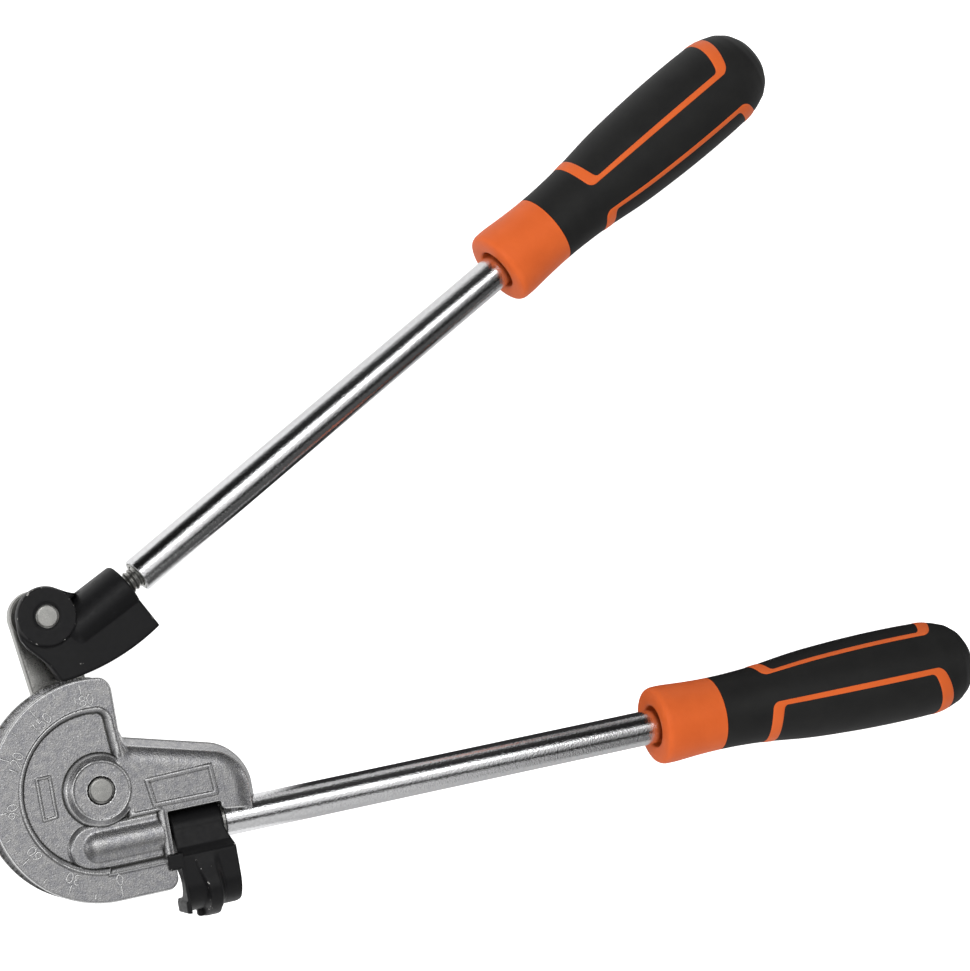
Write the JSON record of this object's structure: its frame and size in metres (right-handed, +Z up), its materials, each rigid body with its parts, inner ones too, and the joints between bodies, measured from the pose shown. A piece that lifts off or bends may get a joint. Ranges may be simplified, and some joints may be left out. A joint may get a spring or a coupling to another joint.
{
  "type": "lever tube bender",
  "caption": "Hand lever tube bender: grooved form wheel on a gripped handle, swinging link with a grooved shoe and second handle, and a pipe hook.",
  "frame": {"origin": "on the axis of the main pivot pin, at the rest face of its head on the bench", "axes": "+X along the fixed handle towards its grip; +Y across, towards the shoe's side; +Z up along the pivot pins, scale side up"},
  "size_m": [0.4235, 0.3109, 0.0399],
  "materials": {
    "cast_aluminium": "die-cast, bare, fine mottled skin",
    "chrome": "bright chrome plate on drawn steel tube",
    "zinc_steel": "zinc-plated steel",
    "black_paint": "satin black paint on cast metal",
    "orange_plastic": "hard moulded plastic",
    "black_rubber": "soft-touch moulding"
  },
  "bodies": {
    "form": {"form_wheel": "cast_aluminium", "main_pin": "zinc_steel", "form_stud": "zinc_steel", "form_insert": "zinc_steel", "form_tube": "chrome", "form_grip_core": "orange_plastic", "form_grip_cover": "black_rubber", "hook_washer": "zinc_steel"},
    "hook": {"hook": "black_paint"},
    "link": {"link_bar": "zinc_steel", "main_washer": "zinc_steel", "main_rear_washer": "zinc_steel", "shoe_washer": "zinc_steel", "shoe_rear_washer": "zinc_steel"},
    "shoe": {"bend_shoe": "black_paint", "shoe_pin": "zinc_steel", "bend_stud": "zinc_steel", "bend_insert": "zinc_steel", "bend_tube": "chrome", "bend_grip_core": "orange_plastic", "bend_grip_cover": "black_rubber"}
  },
  "joints": [
    {"name": "hook_swing", "type": "hinge", "parent": "form", "child": "hook", "pos_m": [0.036, -0.0212, 0.02], "axis": [-1, 0, 0], "range_deg": [0, 80]},
    {"name": "link_swing", "type": "hinge", "parent": "form", "child": "link", "pos_m": [0, 0, 0.02], "axis": [0, 0, 1], "range_deg": [-8, 170]},
    {"name": "shoe_pivot", "type": "hinge", "parent": "link", "child": "shoe", "pos_m": [-0.00898, 0.06912, 0.02], "axis": [0, 0, 1], "range_deg": [-8, 95]}
  ]
}
